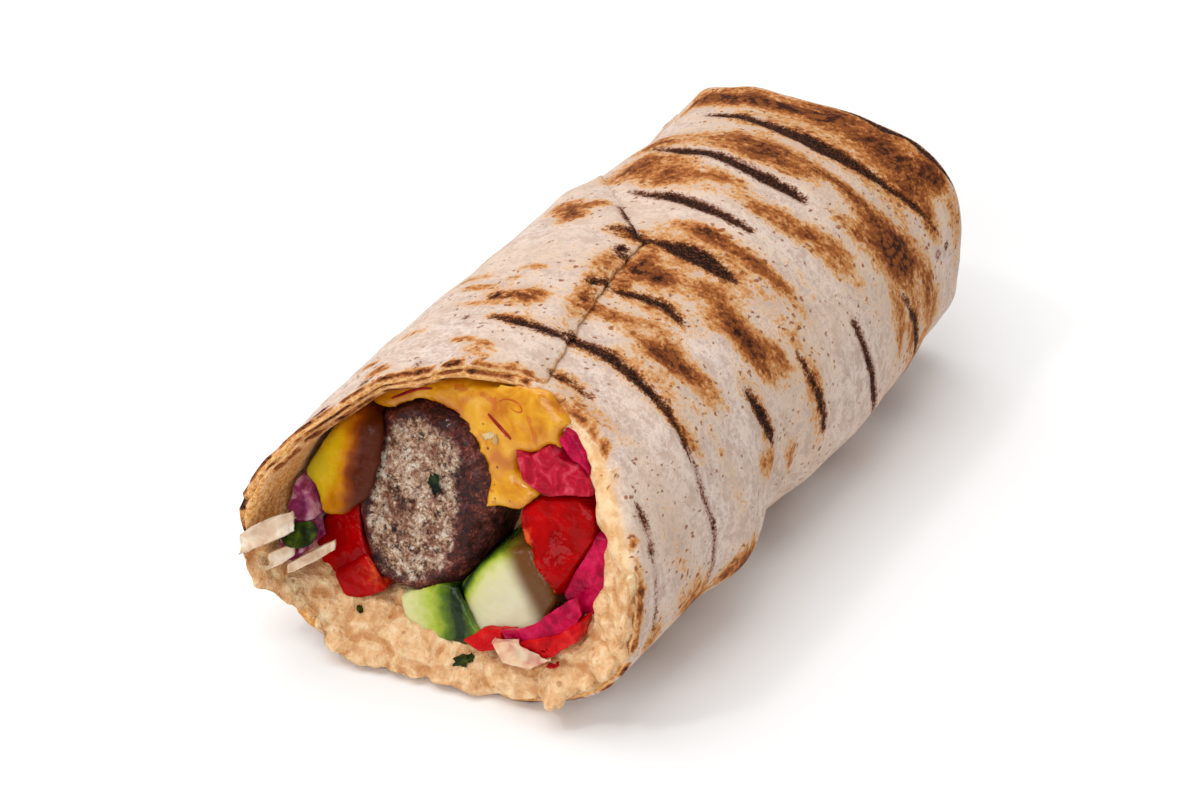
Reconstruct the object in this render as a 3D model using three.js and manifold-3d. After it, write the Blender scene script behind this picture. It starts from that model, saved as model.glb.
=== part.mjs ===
// A grilled flatbread wrap, open at one end and folded shut at the other, filled with a kafta
// sausage, hummus, yellow sauce, tomato, cucumber, pickled and fresh onion, a yellow pepper and
// a parsley leaf.
// Millimetres, +Z up. The wrap lies along Y: its open end is towards -Y and its folded end
// towards +Y. The origin is on the table, under the middle of the wrap.
// Angles run round the wrap from its top, clockwise as seen from the open end, so that a
// quarter turn is at +X.

import * as THREE from "three";
import { mergeVertices } from "three/addons/utils/BufferGeometryUtils.js";
import Module from "manifold-3d";

const wasm = await Module();
wasm.setup();

const { degToRad, lerp, smoothstep } = THREE.MathUtils;

// Driving dimensions of the rolled bread
const FAR_END = 76; // the folded end, along Y
const HALF_WIDTH = 39.3;
const CROWN = 57.8; // height of the top of the roll
const WIDEST_AT = 0.46; // height of the widest line, as a share of the crown
const FAR_DROP = 5; // how much lower and narrower the roll is at its folded end
const BREAD = 1.8; // thickness of the flatbread
const GAP = 0.4; // air between pieces that touch
const ROOM_GAP = 0.55; // air between the bread and what it holds
const LAYER = BREAD + GAP; // what one more layer of bread takes up
const FOLD_RADIUS = 4.6; // the rounded fold at the far end
const SLIT_HALF = 21; // the pinched line in the folded end is twice this long
const SLIT_AIR = 0.3; // half the air between the lips of that line
const SLIT_Z = WIDEST_AT * (CROWN - FAR_DROP); // height of that line
const DIMPLE = 5; // how far the folded end is pushed in at its middle
const SLOPE = 0.36; // the open end leans back by this much for every millimetre of height

// Stations of the open end's edge at every 30 degrees round the roll
const RIM = [-48.5, -48.5, -58.5, -64, -67, -68, -71.5, -74, -74.5, -75.5, -70, -57.5];
const UNDER_RIM = 1.3; // the inner layer reaches this much further out than the flap over it

// The sheet starts under the flap, on the left, and ends on top as the flap's edge
const SHEET_START = -98;
const FLAP_CORNER = 1; // station at which the flap's edge turns off to the left

const gauss = (x, middle, width) => Math.exp(-(((x - middle) / width) ** 2));
const wrapped = (degrees) => ((((degrees + 180) % 360) + 360) % 360) - 180;

// Smooth curve through values that repeat every turn, given at equal steps of angle
function roundTheRim(values, degrees) {
  const place = ((((degrees % 360) + 360) % 360) / 360) * values.length;
  const i = Math.floor(place);
  const t = place - i;
  const at = (k) => values[(i + k + values.length) % values.length];
  const slopeIn = (at(1) - at(-1)) / 2;
  const slopeOut = (at(2) - at(0)) / 2;
  const t2 = t * t;
  const t3 = t2 * t;
  return (
    (2 * t3 - 3 * t2 + 1) * at(0) +
    (t3 - 2 * t2 + t) * slopeIn +
    (3 * t2 - 2 * t3) * at(1) +
    (t3 - t2) * slopeOut
  );
}

const rimAt = (degrees) => roundTheRim(RIM, degrees);

// Angle of the flap's edge, from the top: nearly straight, then a corner that runs off left
function flapEdge(y) {
  const alongTop = 12 * Math.max(0, -y / 45) ** 1.4;
  const corner = Math.min(62, 1.5 * Math.max(0, y - FLAP_CORNER));
  return alongTop - corner;
}

// 1 where an inner layer of bread lies under the flap, easing to 0 beside it
function underFlap(degrees, y) {
  const edge = flapEdge(y);
  const begins = smoothstep(degrees, SHEET_START - 20, SHEET_START - 3);
  return begins * (1 - smoothstep(degrees, edge + 3, edge + 48));
}

// What the hand that rolled it left: a flare at the open end, a bulge and a pinch on the right
function swell(degrees, y) {
  const open = 1 - smoothstep(y, -80, -45);
  const flare = open * (2.4 * gauss(degrees, -98, 16) - 1.5 * gauss(degrees, -52, 20));
  const bulge = 3 * gauss(y, -27, 8) * gauss(degrees, 114, 26);
  const pinch = -3.2 * gauss(y, -10, 11) * gauss(degrees, 110, 32);
  const belly = 1.1 * gauss(y, 24, 22) * gauss(degrees, 115, 32);
  return flare + bulge + pinch + belly;
}

// A point of the roll's section at a station, a depth below its outside
function section(degrees, y, depth) {
  const angle = wrapped(degrees);
  const far = smoothstep(y, 33, FAR_END);
  const near = 1 - smoothstep(y, -78, -30);
  const half = HALF_WIDTH - 0.6 * FAR_DROP * far - 0.9 * near + swell(angle, y) - depth;
  const crown = CROWN - FAR_DROP * far - 1.4 * near - depth;
  const widest = WIDEST_AT * (CROWN - FAR_DROP * far);
  const boxy = lerp(1, 0.6, smoothstep(y, 50, FAR_END));
  const s = Math.sin(degToRad(angle));
  const c = Math.cos(degToRad(angle));
  if (c > 0) {
    return new THREE.Vector3(
      half * Math.sign(s) * Math.abs(s) ** boxy,
      y,
      widest + (crown - widest) * c ** boxy,
    );
  }
  const flat = Math.min(1, 1.06 * Math.abs(c) ** 0.72); // the side that it lies on
  return new THREE.Vector3(half * s, y, widest - (widest - depth) * flat);
}

// A point of the folded end: fold runs from 0 at the end of the roll's side to 1 at the slit
function foldedEnd(degrees, fold, depth) {
  const turn = Math.min(1, fold / 0.3);
  const inward = smoothstep(fold, 0.3, 1) * 0.5 + Math.max(0, (fold - 0.3) / 0.7) * 0.5;
  const bend = (turn * Math.PI) / 2;
  const radius = FOLD_RADIUS - depth;
  const inset = FOLD_RADIUS - radius * Math.cos(bend);
  const edge = section(degrees, FAR_END - FOLD_RADIUS, inset);
  const s = Math.sin(degToRad(degrees));
  const c = Math.cos(degToRad(degrees));
  const x = lerp(edge.x, SLIT_HALF * s, inward);
  const z = lerp(edge.z, SLIT_Z + SLIT_AIR * c, inward);
  const y = FAR_END - FOLD_RADIUS + radius * Math.sin(bend) - DIMPLE * inward ** 1.5;
  return new THREE.Vector3(x, y, z);
}

// Moves every corner of a geometry, given its place before
function reshape(geometry, place) {
  const corners = geometry.getAttribute("position");
  for (let i = 0; i < corners.count; i += 1) {
    const before = new THREE.Vector3().fromBufferAttribute(corners, i);
    const after = place(before, i);
    corners.setXYZ(i, after.x, after.y, after.z);
  }
  return geometry;
}

// A closed body of rings: place gets degrees round it and 0 to 1 from its front pole to its back
function loft(around, along, place) {
  const ball = new THREE.SphereGeometry(1, around, along);
  const uv = ball.getAttribute("uv");
  return reshape(ball, (_, i) => {
    const t = 1 - uv.getY(i);
    const pole = t < 1e-6 || t > 1 - 1e-6;
    const degrees = pole ? 0 : (360 * uv.getX(i)) % 360;
    return place(degrees, t);
  });
}

// A block bent by a function: place gets 0 to 1 along each of the block's three directions
function bentBlock(nu, nv, nw, place) {
  const block = new THREE.BoxGeometry(1, 1, 1, nu, nv, nw);
  return reshape(block, (p) => place(p.x + 0.5, p.y + 0.5, p.z + 0.5));
}

// A geometry as a solid, with its faces turned outwards
function solidOf(geometry) {
  const bare = geometry.clone();
  bare.deleteAttribute("normal");
  bare.deleteAttribute("uv");
  const merged = mergeVertices(bare, 1e-4);
  const triVerts = new Uint32Array(merged.index.array);
  const vertProperties = new Float32Array(merged.getAttribute("position").array);
  const made = new wasm.Manifold(new wasm.Mesh({ numProp: 3, vertProperties, triVerts }));
  if (made.volume() > 0) {
    return made;
  }
  for (let i = 0; i < triVerts.length; i += 3) {
    const first = triVerts[i];
    triVerts[i] = triVerts[i + 1];
    triVerts[i + 1] = first;
  }
  return new wasm.Manifold(new wasm.Mesh({ numProp: 3, vertProperties, triVerts }));
}

// The largest body of a solid as a geometry, with what is finer than a tenth of a gap left out
function geometryOf(solid) {
  const bodies = solid.decompose().sort((a, b) => b.volume() - a.volume());
  const mesh = bodies[0].simplify(solid.numTri() > 3000 ? 0.1 : 0.05).getMesh();
  const geometry = new THREE.BufferGeometry();
  geometry.setAttribute("position", new THREE.BufferAttribute(mesh.vertProperties, 3));
  geometry.setIndex(new THREE.BufferAttribute(mesh.triVerts, 1));
  geometry.computeVertexNormals();
  return geometry;
}

// Where the sheet's front edge is, with the inner layer reaching a little further out
function sheetFront(degrees) {
  const inner = smoothstep(degrees, SHEET_START, -70) * (1 - smoothstep(degrees, 0, 30));
  return rimAt(degrees) - UNDER_RIM * inner;
}

// The bread's edge on the upper right of the open end is puffed to a bead
function puff(degrees, y) {
  const angle = wrapped(degrees);
  const place = smoothstep(angle, 6, 24) * (1 - smoothstep(angle, 62, 90));
  return 2.6 * place * (1 - smoothstep(y - rimAt(degrees), 0, 9));
}

// A station along the roll's side, from its front edge at 0 to the start of the fold at 1
const stationAt = (front, k) => lerp(front, FAR_END - FOLD_RADIUS, Math.min(1, k) ** 0.92);

// The flatbread: one sheet rolled round the filling, its last part a flap over its first
function bread() {
  const side = 2 / 3; // share of the sheet's length that lies on the roll's side
  return bentBlock(48, 24, 1, (u, v, w) => {
    const y = stationAt(sheetFront(lerp(SHEET_START, 372, u)), v / side);
    const degrees = lerp(SHEET_START, 360 + flapEdge(y), u);
    const inner = degrees < 180 ? underFlap(degrees, y) : 0;
    const depth = LAYER * inner + (BREAD + puff(degrees, y) * (degrees < 180)) * w;
    if (v <= side) {
      return section(degrees, y, depth);
    }
    return foldedEnd(degrees, (v - side) / (1 - side), depth);
  });
}

// Depth of the room inside the bread
function roomDepth(degrees, y) {
  return BREAD + ROOM_GAP + LAYER * underFlap(wrapped(degrees), y) + puff(degrees, y);
}

// All of the space that the bread leaves: the room inside it and the air in front of its edge
function space() {
  const rings = 24;
  return loft(54, rings, (degrees, t) => {
    const ring = Math.round(t * rings);
    const front = sheetFront(wrapped(degrees)) - GAP;
    if (ring === 0) {
      return new THREE.Vector3(0, -110, 27);
    }
    if (ring < 3) {
      return section(degrees, -70, -25).setY(ring === 1 ? -110 : front);
    }
    const fold = (ring - 19) / (rings - 19);
    if (fold <= 0) {
      const y = stationAt(front, (ring - 3) / 16);
      return section(degrees, y, roomDepth(degrees, y));
    }
    const clear = 1.5 * Math.min(1, 3 * fold); // the filling stops short of the folded end
    const wall = foldedEnd(degrees, fold, roomDepth(degrees, FAR_END) + clear);
    return fold < 1 ? wall : new THREE.Vector3(0, wall.y, SLIT_Z);
  });
}

// Hummus: spread on the bread, filling it behind the other fillings, and heaped over the lower
// edge of the open end as a lip
const LIP_FORWARD = 2; // how far the lip stands out in front of the bread's edge
const LIP_INSIDE = -71.5; // station of the lip's inner edge, where its lean meets the table
const HOLLOW = 15; // how far the hollow between the fillings is set back from there

// Where the lip's inner edge is at every 30 degrees, from the middle 0 to the bread 1
const LIP_INNER = [0.85, 0.84, 0.8, 0.76, 0.77, 0.74, 0.66, 0.7, 0.82, 0.88, 0.9, 0.88];

// 1 where the lip covers the bread's edge, 0 along the top
const lipCover = (degrees) => smoothstep(degrees, 52, 78) * (1 - smoothstep(degrees, 261, 273));

// The lip's lumps, in millimetres
function lump(degrees, t) {
  const long = Math.sin(degToRad(7 * degrees + 40)) + 0.8 * Math.sin(degToRad(13 * degrees));
  return 0.45 * long + 0.5 * Math.sin(degToRad(19 * degrees) + 11 * t);
}

function hummus() {
  const rings = 17;
  const middle = new THREE.Vector3(0, 0, WIDEST_AT * CROWN);
  return loft(54, rings, (degrees, t) => {
    const ring = Math.round(t * rings);
    const rim = sheetFront(wrapped(degrees));
    const cover = lipCover(degrees);
    const drips = 3 * gauss(degrees, 136, 8) + 2 * gauss(degrees, 210, 7) + 2 * gauss(degrees, 250, 10);
    const nick = 1.6 * gauss(degrees, 227, 8) - 0.8 * gauss(degrees, 188, 8);
    const lip = rim - LIP_FORWARD - lump(degrees, 0) - drips + nick;
    const outer = lerp(roomDepth(degrees, rim) - 1, 0.6, cover);
    if (ring <= 11) {
      // the hollow, from its middle out to the lip's inner edge, then the lip itself
      const r = ring < 4 ? 0.16 * ring : lerp(0.58, 1, (ring - 4) / 7);
      const p = middle.clone().lerp(section(degrees, rim, outer + 1), r);
      const inner = roundTheRim(LIP_INNER, degrees);
      const hollow = LIP_INSIDE + HOLLOW + SLOPE * p.z;
      const inside = hollow - HOLLOW * smoothstep(r, inner - 0.22, inner);
      const across = Math.max(0, (r - inner) / (1 - inner));
      const lumps = 3 * lump(degrees, 9 * r) * across * (1 - across);
      p.y = lerp(hollow, lerp(inside, lip, across ** 1.2) - lumps, cover);
      return p;
    }
    const start = lerp(LIP_INSIDE + HOLLOW + SLOPE * 50, lip, cover);
    if (ring <= 13) {
      // the lip's outside
      const k = (ring - 11) / 2;
      const y = lerp(start, Math.max(start, rim) + 1, k);
      return section(degrees, y, outer + (1 - k) ** 2 - 0.3 * k);
    }
    const k = Math.min(1, (ring - 13) / 3);
    const y = lerp(Math.max(start, rim) + 1, FAR_END + 3, k);
    const p = section(degrees, Math.min(y, FAR_END), 0.3).setY(y);
    return ring < rings ? p : new THREE.Vector3(0, y, middle.z);
  });
}

// Kafta: a sausage of minced meat, cut off flat at the open end, where its skin is rounded back
// further on the right, and tapered to a round end inside
const KAFTA = { x: -10.5, z: 30, halfWidth: 14.5, halfHeight: 16.5, front: -71, length: 116 };

function kafta(grow) {
  const rings = 18;
  return loft(28, rings, (degrees, t) => {
    const ring = Math.round(t * rings);
    const s = Math.sin(degToRad(degrees));
    const c = Math.cos(degToRad(degrees));
    const round = (Math.abs(s) ** 2.4 + Math.abs(c) ** 2.4) ** (-1 / 2.4);
    const waves = Math.sin(degToRad(3 * degrees) + ring);
    const knob = 0.5 * waves + 0.3 * Math.sin(degToRad(5 * degrees) - ring);
    const shoulder = 3.5 + 2.5 * Math.max(0, s);
    let inset = 0;
    let y = 0;
    let share = 1;
    if (ring <= 3) {
      share = ring / 3;
      inset = shoulder;
      y = -grow - 0.6 * (1 - share * share);
    } else if (ring <= 6) {
      const bend = ((ring - 3) / 3) * (Math.PI / 2);
      inset = shoulder * (1 - Math.sin(bend));
      y = shoulder * 1.3 * (1 - Math.cos(bend)) - grow * Math.cos(bend);
    } else {
      const k = (ring - 6) / (rings - 6);
      y = lerp(shoulder * 1.3, KAFTA.length + grow, k);
      share = Math.sqrt(1 - Math.max(0, (k - 0.75) / 0.25) ** 2);
    }
    const reachX = (KAFTA.halfWidth + knob + grow - inset) * share * round;
    const reachZ = (KAFTA.halfHeight + knob + grow - inset * 0.4) * share * round;
    const lean = SLOPE * lerp(KAFTA.z, KAFTA.z + c * reachZ, 1 - smoothstep(y, 0, 50));
    return new THREE.Vector3(
      KAFTA.x + s * reachX,
      KAFTA.front + y + lean,
      KAFTA.z - 0.012 * y + c * reachZ,
    );
  });
}

// A piece cut to an outline of (x, z) corners, running back from a front face that leans like
// the open end; front is where that lean meets the table
function chunk({ outline, front, length, round = 0.8 }) {
  return (grow) => {
    const shape = new THREE.Shape(outline.map(([x, z]) => new THREE.Vector2(x, z)));
    const block = new THREE.ExtrudeGeometry(shape, {
      depth: length - 2 * round,
      bevelThickness: round + grow,
      bevelSize: round,
      bevelOffset: grow - round,
      bevelSegments: 2,
    });
    return reshape(block, (p) => new THREE.Vector3(p.x, front + SLOPE * p.y + round + p.z, p.y));
  };
}

// A strip that follows a path of (x, y, z) points, its width lying along a given direction
function strip({ path, across, width, thick, steps = 12, taper = 0.35 }) {
  return (grow) => {
    const curve = new THREE.CatmullRomCurve3(path.map((p) => new THREE.Vector3(...p)));
    const side = new THREE.Vector3(...across).normalize();
    return bentBlock(steps, 2, 1, (u, v, w) => {
      const along = curve.getTangentAt(u);
      const up = new THREE.Vector3().crossVectors(side, along).normalize();
      const end = 1 - taper * Math.abs(2 * u - 1) ** 4;
      const bow = 0.25 * thick * (1 - (2 * v - 1) ** 2);
      return curve
        .getPointAt(u)
        .addScaledVector(along, grow * (2 * u - 1))
        .addScaledVector(side, (width * end + 2 * grow) * (v - 0.5))
        .addScaledVector(up, (thick * end + 2 * grow) * (w - 0.5) + bow);
    });
  };
}

// The fillings that show in the open end, each one trimmed by those before it
const FILLINGS = {
  kafta: { colour: 0x8a6450, make: kafta },
  parsley_leaf: {
    colour: 0x41390b,
    make: strip({
      path: [[-33.5, -72.8, 22.2], [-30, -72.6, 22.6], [-25.5, -71.3, 24.6]],
      across: [-0.25, 0.45, 0.75],
      width: 4.8,
      thick: 0.7,
      steps: 6,
      taper: 0.7,
    }),
  },
  cucumber_right: {
    colour: 0xd7c5aa,
    make: chunk({
      outline: [
        [0, 17], [3, 22], [7.5, 26], [13, 28], [17, 25], [20, 20], [18, 15], [10.5, 9.5], [6, 9],
        [2.5, 12.5],
      ],
      front: -70,
      length: 30,
    }),
  },
  cucumber_left: {
    colour: 0xb2ae61,
    make: chunk({
      outline: [
        [-11.5, 12], [-8, 15], [-4, 17], [0.5, 17.5], [3, 15], [7, 11], [4.5, 8], [0, 7], [-5, 7],
        [-9, 8.5],
      ],
      front: -71.5,
      length: 26,
    }),
  },
  tomato_right: {
    colour: 0xa60813,
    make: chunk({
      outline: [
        [9, 33.5], [13, 36.5], [20, 39], [24, 37], [25, 32.5], [21.5, 25.5], [20, 21], [16, 20],
        [12.5, 25.5], [10, 30],
      ],
      front: -69,
      length: 22,
    }),
  },
  tomato_left: {
    colour: 0xa60813,
    make: chunk({
      outline: [
        [-33, 13.5], [-31, 19.5], [-29, 23.5], [-25, 27], [-21, 25], [-18, 18], [-19, 13],
        [-24, 10.5], [-29, 10.5],
      ],
      front: -70,
      length: 26,
    }),
  },
  tomato_dice: {
    colour: 0xba472e,
    make: chunk({
      outline: [[-25.5, 12.5], [-19, 18], [-16, 16], [-14, 12.5], [-18.5, 9.5], [-22.5, 8.5]],
      front: -72.5,
      length: 12,
    }),
  },
  pickled_curl: {
    colour: 0xa5123f,
    make: strip({
      path: [[12.5, -67.8, 12.5], [17.5, -67.5, 14], [22, -66, 18], [26, -63.5, 23]],
      across: [-0.5, 0.35, 1],
      width: 5.5,
      thick: 1.8,
      steps: 8,
    }),
  },
  pickled_side: {
    colour: 0xc73751,
    make: chunk({
      outline: [[21, 22], [22.5, 28], [25, 34], [28.5, 34], [29.5, 27], [28, 20.5], [24.5, 19]],
      front: -69.5,
      length: 12,
    }),
  },
  pickled_top_a: {
    colour: 0xc73751,
    make: chunk({
      outline: [
        [6.5, 44.5], [10, 44], [13, 46.5], [15.5, 45.5], [19.5, 45], [22.5, 43.5], [23.5, 41],
        [14, 38], [9, 39.5],
      ],
      front: -70.5,
      length: 12,
      round: 0.6,
    }),
  },
  pickled_top_b: {
    colour: 0x89052b,
    make: chunk({
      outline: [
        [14.5, 48], [15.5, 50.5], [17.5, 50], [20.5, 47.5], [22.5, 44], [20, 43.5], [17.5, 45.5],
      ],
      front: -70,
      length: 14,
      round: 0.6,
    }),
  },
  red_bit_left: {
    colour: 0xa60813,
    make: chunk({
      outline: [[4, 9.5], [7.5, 12.5], [14, 14.5], [13, 11], [8, 8.5]],
      front: -72.5,
      length: 10,
      round: 0.5,
    }),
  },
  red_bit_right: {
    colour: 0xa60813,
    make: chunk({
      outline: [[15, 13.5], [19, 15.5], [23.5, 18], [28, 22], [27.5, 18], [23, 13.5], [18, 11.5]],
      front: -74,
      length: 10,
      round: 0.4,
    }),
  },
  pale_onion: {
    colour: 0xcfad8d,
    make: chunk({
      outline: [[10.5, 13], [15, 15], [19, 14.5], [24, 14], [20, 10.5], [14, 10]],
      front: -75.5,
      length: 8,
      round: 0.4,
    }),
  },
  onion_strip_top: {
    colour: 0xcfad8d,
    make: strip({
      path: [[-38.8, -78.6, 20.8], [-35, -76, 23.5], [-30, -71.5, 25.5]],
      across: [-0.2, 0.3, 1],
      width: 5.4,
      thick: 2.6,
      steps: 4,
      taper: 0.2,
    }),
  },
  onion_strip_middle: {
    colour: 0xcfad8d,
    make: strip({
      path: [[-36.5, -75.8, 14.6], [-34, -74.6, 16.8], [-30.5, -72, 19]],
      across: [-0.2, 0.3, 1],
      width: 3.4,
      thick: 2,
      steps: 4,
      taper: 0.2,
    }),
  },
  onion_strip_low: {
    colour: 0xcfad8d,
    make: strip({
      path: [[-31.8, -73.5, 14.6], [-29, -72, 16.6], [-24, -68, 20]],
      across: [-0.2, 0.3, 1],
      width: 2.6,
      thick: 1.8,
      steps: 4,
      taper: 0.2,
    }),
  },
  red_onion_low: {
    colour: 0x8a3a5a,
    make: chunk({
      outline: [[-35.5, 18], [-35, 22], [-31, 21], [-29, 18], [-31.5, 15]],
      front: -78,
      length: 10,
      round: 0.6,
    }),
  },
  red_onion_top: {
    colour: 0x8a3a5a,
    make: chunk({
      outline: [[-36.5, 24], [-35, 29.5], [-31.5, 27], [-29.5, 23], [-33, 21.5]],
      front: -76,
      length: 9,
      round: 0.6,
    }),
  },
  pepper: {
    colour: 0xb07407,
    make: chunk({
      outline: [
        [-36.5, 26.5], [-34, 32.5], [-30, 39], [-25.5, 43], [-20, 42], [-19, 35], [-20, 28],
        [-24, 24], [-29, 22.5], [-34, 24],
      ],
      front: -74,
      length: 55,
      round: 1.4,
    }),
  },
  sauce: {
    colour: 0xd38e2e,
    make: chunk({
      outline: [
        [-27, 42.5], [-24, 47], [-16, 51.5], [-8, 54.5], [2, 56], [11, 55.5], [16, 52], [20, 46.5],
        [20, 43], [14, 44], [7, 43.5], [7, 39.5], [13, 38], [11, 33], [5, 33], [0, 30], [-8, 40],
        [-20, 41],
      ],
      front: -70,
      length: 118,
      round: 1,
    }),
  },
  hummus: { colour: 0xd8af82, make: hummus },
};

const wrap = new THREE.Group();

function add(name, colour, solid) {
  const material = new THREE.MeshStandardMaterial({ color: colour, roughness: 0.8 });
  const mesh = new THREE.Mesh(geometryOf(solid), material);
  mesh.name = name;
  wrap.add(mesh);
}

add("bread", 0xcbb49d, solidOf(bread()));
let free = solidOf(space());
for (const [name, { colour, make }] of Object.entries(FILLINGS)) {
  add(name, colour, solidOf(make(0)).intersect(free));
  free = free.subtract(solidOf(make(GAP)));
}

// The frame: the middle of the wrap, on the table
const bounds = new THREE.Box3().setFromObject(wrap);
const centre = bounds.getCenter(new THREE.Vector3());
for (const mesh of wrap.children) {
  mesh.geometry.translate(-centre.x, -centre.y, -bounds.min.z);
}

export default wrap;
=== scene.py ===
"""A grilled flatbread wrap, open at one end, filled with kafta, hummus, sauce and vegetables."""

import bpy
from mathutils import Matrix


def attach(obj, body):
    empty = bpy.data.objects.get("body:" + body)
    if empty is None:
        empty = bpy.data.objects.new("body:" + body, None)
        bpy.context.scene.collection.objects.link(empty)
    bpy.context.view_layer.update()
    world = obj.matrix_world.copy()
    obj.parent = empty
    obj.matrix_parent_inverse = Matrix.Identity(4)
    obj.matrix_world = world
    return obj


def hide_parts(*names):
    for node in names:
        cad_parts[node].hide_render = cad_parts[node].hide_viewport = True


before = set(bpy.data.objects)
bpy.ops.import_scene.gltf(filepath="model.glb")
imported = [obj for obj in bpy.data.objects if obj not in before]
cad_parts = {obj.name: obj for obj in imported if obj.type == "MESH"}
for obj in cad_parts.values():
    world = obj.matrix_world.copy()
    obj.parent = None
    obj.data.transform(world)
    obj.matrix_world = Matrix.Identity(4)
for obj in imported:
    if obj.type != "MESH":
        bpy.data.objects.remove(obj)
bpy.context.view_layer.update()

import math
import random

import bmesh
import bpy
from mathutils import Matrix, Vector, noise
from mathutils.bvhtree import BVHTree


# ----------------------------------------
# Camera
# It looks down along the wrap from the right of its open end, through a long lens. Metres.

AIM = Vector((-0.00198, -0.00836, 0.026))
AZIMUTH = math.radians(30.98)
ELEVATION = math.radians(34.77)
DISTANCE = 0.5575
LENS = 86.1
SENSOR = 36

back = Vector((
    math.sin(AZIMUTH) * math.cos(ELEVATION),
    -math.cos(AZIMUTH) * math.cos(ELEVATION),
    math.sin(ELEVATION),
))
camera_data = bpy.data.cameras.new("camera")
camera_data.sensor_width = SENSOR
camera_data.lens = LENS
camera_data.clip_start = 0.05
camera = bpy.data.objects.new("camera", camera_data)
camera.location = AIM + back * DISTANCE
camera.rotation_mode = "QUATERNION"
camera.rotation_quaternion = (-back).to_track_quat("-Z", "Y")
bpy.context.scene.collection.objects.link(camera)
bpy.context.scene.camera = camera


# ----------------------------------------
# Flatbread
# One thin sheet of floury flatbread, rolled round the filling. It starts under its own flap on
# the left, ends as the flap's edge along the top, and is folded shut at the far end. It was
# grilled, so it is toasted in blotches and burnt in stripes that run round the roll.

# Millimetres throughout; angles are degrees from the top, clockwise as seen from the open end
FAR_END = 76
HALF_WIDTH = 39.3
CROWN = 57.8
WIDEST_AT = 0.46  # share of the crown's height
FAR_DROP = 5
FAR_TAPER_FROM = 33
BOXY_FROM = 50
BOXY = 0.6  # power that squares the shoulders of the folded end
MOUTH_TAPER = (-78, -30)
MOUTH_NARROWER = 0.9
MOUTH_LOWER = 1.4
MOUTH_FLARES = ((2.4, -98, 16), (-1.5, -52, 20))  # how far out, angle, reach
SWELLINGS = (  # how far out, station, reach along, angle, reach round
    (3, -27, 8, 114, 26), (-3.2, -10, 11, 110, 32), (1.1, 24, 22, 115, 32),
)
FLAT_UNDER = (1.06, 0.72)  # share and power that press the underside flat
BREAD = 1.8
GAP = 0.4
LAYER = BREAD + GAP
LAYER_SUNK = 0.25  # the layer under the flap is let into it by this much
# Stations of the rim, one every 30 degrees
RIM = (-48.5, -48.5, -58.5, -64, -67, -68, -71.5, -74, -74.5, -75.5, -70, -57.5)
RIM_WAVES = ((0.9, 5, 3), (0.5, 16, 7))  # size, closeness, seed
UNDER_RIM = 1.3
PUFF = 2.6
BEAD = 2.3  # the puffed edge is shown this many times as thick as in the solid
SHEET_START = -98
SHEET_END = 372
FLAP_CORNER = 1
FRAY = 0.8
FOLD_RADIUS = 4.6
FOLD_FROM = FAR_END - FOLD_RADIUS
FOLD_TURN = 0.3  # share of the fold that turns in from the roll's side
FOLD_REACH = 38  # the fold's length, for the marks on it
SLIT_HALF = 21
SLIT_AIR = 0.3
SLIT_Z = WIDEST_AT * (CROWN - FAR_DROP)
DIMPLE = 5
SIDE_SHARE = 2 / 3  # share of the sheet's rows that lie on the roll's side
ROW_SPREAD = 0.92  # power that spaces those rows
ORIGIN = Vector((0.125, -2.104, 0))  # the middle of the roll, which the frame starts from
MM_PER_DEGREE = 0.66  # along the roll's girth

TO_FRAME = Matrix.Scale(0.001, 4) @ Matrix.Translation(-ORIGIN)


def gauss(x, middle, width):
    return math.exp(-(((x - middle) / width) ** 2))


def lerp(a, b, t):
    return a + (b - a) * t


def smoothstep(x, low, high):
    t = min(1, max(0, (x - low) / (high - low)))
    return t * t * (3 - 2 * t)


def between(x, out_low, in_low, in_high, out_high):
    """1 from one inner limit to the other, easing to 0 at the outer ones."""
    return smoothstep(x, out_low, in_low) * (1 - smoothstep(x, in_high, out_high))


def humps(angle, sizes):
    """Soft humps round the roll, each given by its size, angle and reach."""
    return sum(size * gauss(angle, at, reach) for size, at, reach in sizes)


def wrapped(angle):
    return (angle + 180) % 360 - 180


def round_the_rim(values, angle):
    """Smooth curve through values that repeat every turn, given at equal steps of angle."""
    place = (angle % 360) / 360 * len(values)
    i = int(place)
    t = place - i
    before, first, second, after = (values[(i + k) % len(values)] for k in (-1, 0, 1, 2))
    slope_in = (second - before) / 2
    slope_out = (after - first) / 2
    return (
        (2 * t**3 - 3 * t**2 + 1) * first
        + (t**3 - 2 * t**2 + t) * slope_in
        + (3 * t**2 - 2 * t**3) * second
        + (t**3 - t**2) * slope_out
    )


def ragged(value, angle, waves):
    """A value made uneven by noise that closes on itself after a full turn of the roll."""
    turn = math.radians(angle)
    for size, closeness, seed in waves:
        round_place = Vector((closeness * math.cos(turn), closeness * math.sin(turn), seed))
        value += size * noise.noise(round_place)
    return value


def sheet_front(angle):
    """The sheet's front edge: the layer under the flap reaches a little further out."""
    inner = between(angle, SHEET_START, -70, 0, 30)
    return ragged(round_the_rim(RIM, angle), angle, RIM_WAVES) - UNDER_RIM * inner


def flap_edge(y):
    """The angle of the flap's edge, which runs off to the left from its corner."""
    along_top = 12 * max(0, -y / 45) ** 1.4
    corner = min(62, 1.5 * max(0, y - FLAP_CORNER))
    return along_top - corner


def under_flap(angle, y):
    """1 where a layer of bread lies under the flap, easing to 0 beside it."""
    edge = flap_edge(y)
    return between(angle, SHEET_START - 20, SHEET_START - 3, edge + 3, edge + 48)


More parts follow.
